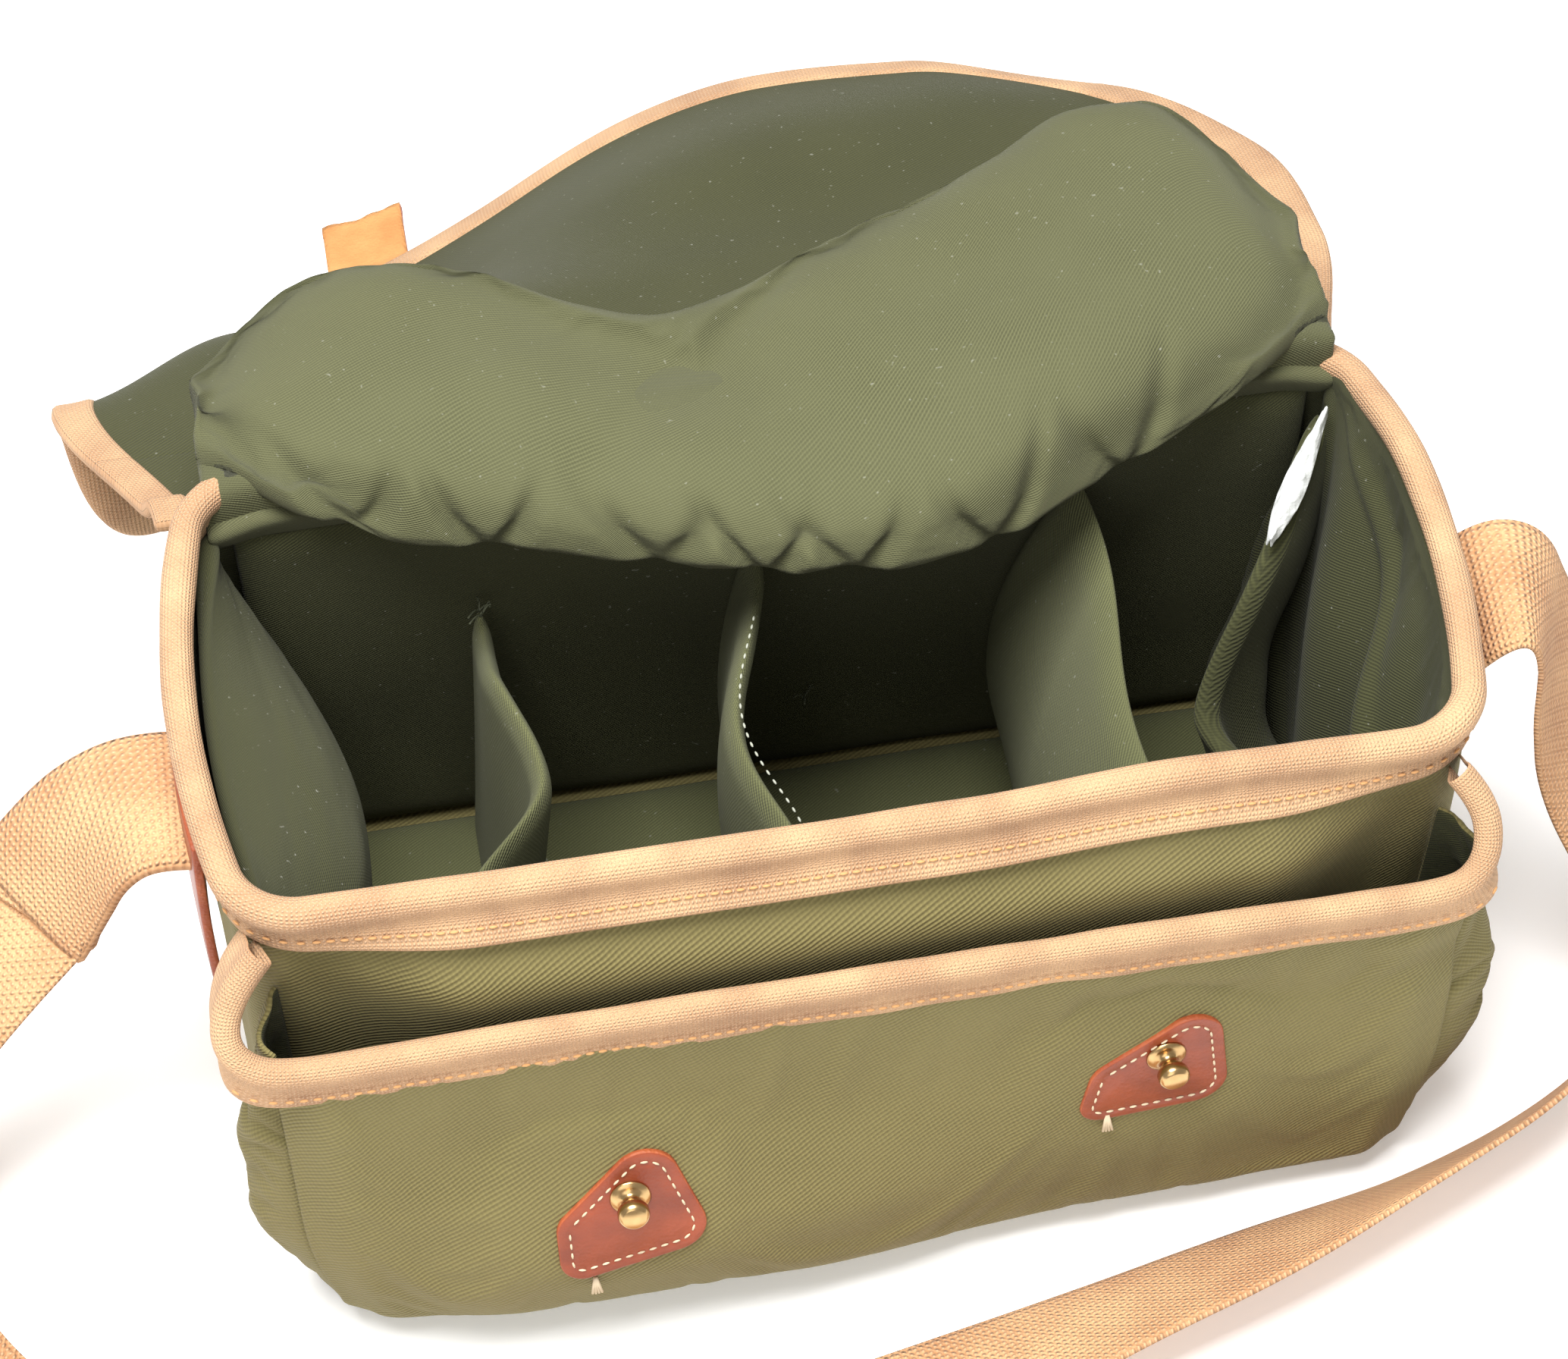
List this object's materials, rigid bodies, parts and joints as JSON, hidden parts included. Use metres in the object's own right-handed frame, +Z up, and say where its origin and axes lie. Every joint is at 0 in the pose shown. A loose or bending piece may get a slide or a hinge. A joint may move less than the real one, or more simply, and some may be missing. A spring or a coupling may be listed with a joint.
{
  "type": "camera bag",
  "caption": "Open canvas camera bag with padded dividers, bellows pocket, brass studs on leather pads, thrown-back lid and webbing shoulder strap.",
  "frame": {"origin": "middle of the base's flat underside, below the middle of the insert", "axes": "+X to the right along the front, -Y out of the pocket side, +Z up"},
  "size_m": [0.5849, 0.5192, 0.2079],
  "materials": {
    "canvas": "olive twill canvas, worn",
    "lid_lining": "dark green lining cloth",
    "insert_lining": "dark green brushed lining over foam",
    "binding_tape": "tan woven tape with a stitch line",
    "webbing": "tan basket-weave webbing, fuzzy edges",
    "leather": "chestnut leather with burnished edges",
    "brass": "aged brass",
    "foam": "white foam showing at a torn seam"
  },
  "bodies": {
    "bag": {"back_panel": "canvas", "base_panel": "canvas", "binding_back": "binding_tape", "binding_front": "binding_tape", "binding_left": "binding_tape", "binding_right": "binding_tape", "end_panel_left": "canvas", "end_panel_right": "canvas", "flap_link": "insert_lining", "flap_roll": "canvas", "front_panel": "canvas", "gusset_binding_left": "binding_tape", "gusset_binding_right": "binding_tape", "insert_back": "insert_lining", "insert_end_left": "insert_lining", "insert_end_right": "insert_lining", "insert_floor": "insert_lining", "insert_front": "insert_lining", "lid_hem": "canvas", "pocket_gusset_left": "canvas", "pocket_gusset_right": "canvas", "shoulder_strap": "webbing", "strap_patch_left": "leather", "strap_patch_right": "leather", "strap_tab_left": "webbing", "torn_foam": "foam"},
    "pocket": {"pocket_binding": "binding_tape", "pocket_front": "canvas", "stud_left": "brass", "stud_pad_left": "leather", "stud_pad_right": "leather", "stud_right": "brass", "stud_washer_left": "brass", "stud_washer_right": "brass"},
    "lid": {"lid_back_edge": "canvas", "lid_binding_left": "binding_tape", "lid_binding_right": "binding_tape", "lid_top": "canvas", "lid_top_lining": "lid_lining"},
    "lid_front_edge": {"closure_root_left": "leather", "closure_root_right": "leather", "lid_front": "canvas", "lid_front_binding": "binding_tape", "lid_front_binding_left": "binding_tape", "lid_front_binding_right": "binding_tape", "lid_front_lining": "lid_lining"},
    "inner_flap": {"inner_flap": "canvas"},
    "torn_strap": {"closure_strap_left": "leather"},
    "whole_strap": {"closure_strap_right": "leather"},
    "divider_1": {"divider_1": "insert_lining"},
    "divider_2": {"divider_2": "insert_lining"},
    "divider_3": {"divider_3": "insert_lining"}
  },
  "joints": [
    {"name": "pocket_mouth", "type": "hinge", "parent": "bag", "child": "pocket", "pos_m": [0, -0.1105, 0.0055], "axis": [1, 0, 0], "range_deg": [0, 6], "stiffness_Nm_per_rad": 0.6},
    {"name": "lid_hinge", "type": "hinge", "parent": "bag", "child": "lid", "pos_m": [0, 0.083, 0.178], "axis": [1, 0, 0], "range_deg": [0, 196]},
    {"name": "lid_fold", "type": "hinge", "parent": "lid", "child": "lid_front_edge", "pos_m": [0, 0.24688, 0.10521], "axis": [1, 0, 0], "range_deg": [0, 60]},
    {"name": "flap_hinge", "type": "hinge", "parent": "bag", "child": "inner_flap", "pos_m": [0, 0.034, 0.1985], "axis": [1, 0, 0], "range_deg": [0, 188]},
    {"name": "torn_strap_bend", "type": "hinge", "parent": "lid_front_edge", "child": "torn_strap", "pos_m": [-0.107, 0.30151, 0.08601], "axis": [1, 0, 0], "range_deg": [0, 25]},
    {"name": "whole_strap_unfold", "type": "hinge", "parent": "lid_front_edge", "child": "whole_strap", "pos_m": [0.084, 0.30032, 0.07969], "axis": [1, 0, 0], "range_deg": [0, 150]},
    {"name": "divider_1_slide", "type": "slide", "parent": "bag", "child": "divider_1", "axis": [1, 0, 0], "range_m": [-0.015, 0.015]},
    {"name": "divider_2_slide", "type": "slide", "parent": "bag", "child": "divider_2", "axis": [1, 0, 0], "range_m": [-0.015, 0.015]},
    {"name": "divider_3_slide", "type": "slide", "parent": "bag", "child": "divider_3", "axis": [1, 0, 0], "range_m": [-0.015, 0.015]}
  ],
  "couplings": [
    {"joint": "flap_hinge", "follows": "lid_hinge", "ratio": 0.959}
  ]
}
